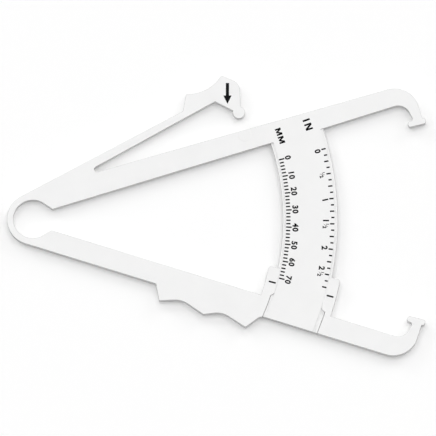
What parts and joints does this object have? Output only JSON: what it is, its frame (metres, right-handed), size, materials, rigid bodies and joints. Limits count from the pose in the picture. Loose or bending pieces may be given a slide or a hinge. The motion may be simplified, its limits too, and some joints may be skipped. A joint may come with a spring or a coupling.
{
  "type": "skinfold caliper",
  "caption": "Flat moulded skinfold caliper: hooked jaws on long arms joined by a spring ring, a curved scale sliding in a guide, a finger grip and a sprung thumb lever.",
  "frame": {"origin": "middle of the bounding box in plan, on the flat underside", "axes": "+X from the spring ring towards the jaws, +Y from the lower arm towards the upper arm and thumb lever, +Z out of the printed face"},
  "size_m": [0.1572, 0.1068, 0.0032],
  "materials": {
    "white_plastic": "satin moulded",
    "black_ink": "printed"
  },
  "bodies": {
    "upper_limb": {"upper_arm": "white_plastic", "scale_sector": "white_plastic", "upper_jaw": "white_plastic", "upper_foot": "white_plastic", "spring_ring": "white_plastic", "lever_neck": "white_plastic"},
    "lower_limb": {"lower_arm": "white_plastic", "finger_grip": "white_plastic", "inner_guide_tab": "white_plastic", "outer_guide_tab": "white_plastic", "lower_jaw": "white_plastic", "lower_foot": "white_plastic"},
    "lever": {"thumb_lever": "white_plastic", "thumb_pad": "white_plastic", "lever_tip": "white_plastic"}
  },
  "joints": [
    {"name": "jaw_hinge", "type": "hinge", "parent": "upper_limb", "child": "lower_limb", "pos_m": [-0.06891, -0.00137, 0.0015], "axis": [0, 0, 1], "range_deg": [0, 28.4], "stiffness_Nm_per_rad": 0.25, "deforming": ["spring_ring"]},
    {"name": "lever_hinge", "type": "hinge", "parent": "upper_limb", "child": "lever", "pos_m": [-0.0428, 0.02185, 0.0015], "axis": [0, 0, 1], "range_deg": [-4.7, 0], "stiffness_Nm_per_rad": 0.8, "deforming": ["lever_neck"]}
  ]
}
